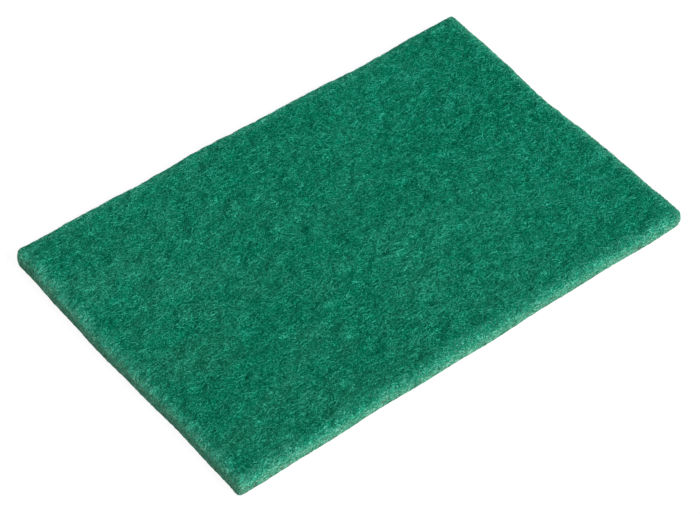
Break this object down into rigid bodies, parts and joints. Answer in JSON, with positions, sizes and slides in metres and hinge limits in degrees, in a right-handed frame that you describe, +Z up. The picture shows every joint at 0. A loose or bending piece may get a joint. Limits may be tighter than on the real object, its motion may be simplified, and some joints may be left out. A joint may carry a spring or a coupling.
{
  "type": "nylon scouring pad",
  "caption": "Flat rectangular scouring pad of thick felted nylon web, with knife-cut sides and a softly rolled top edge.",
  "frame": {"origin": "on the floor under the middle of the pad, at the centre of its flat underside", "axes": "+X along the pad's length, +Y across its width, +Z up through its thickness"},
  "size_m": [0.2321, 0.1523, 0.008],
  "materials": {
    "nylon_web": "matte felted nylon strands, resin bonded, green right through"
  },
  "bodies": {
    "root": {"pad": "nylon_web"}
  },
  "joints": []
}
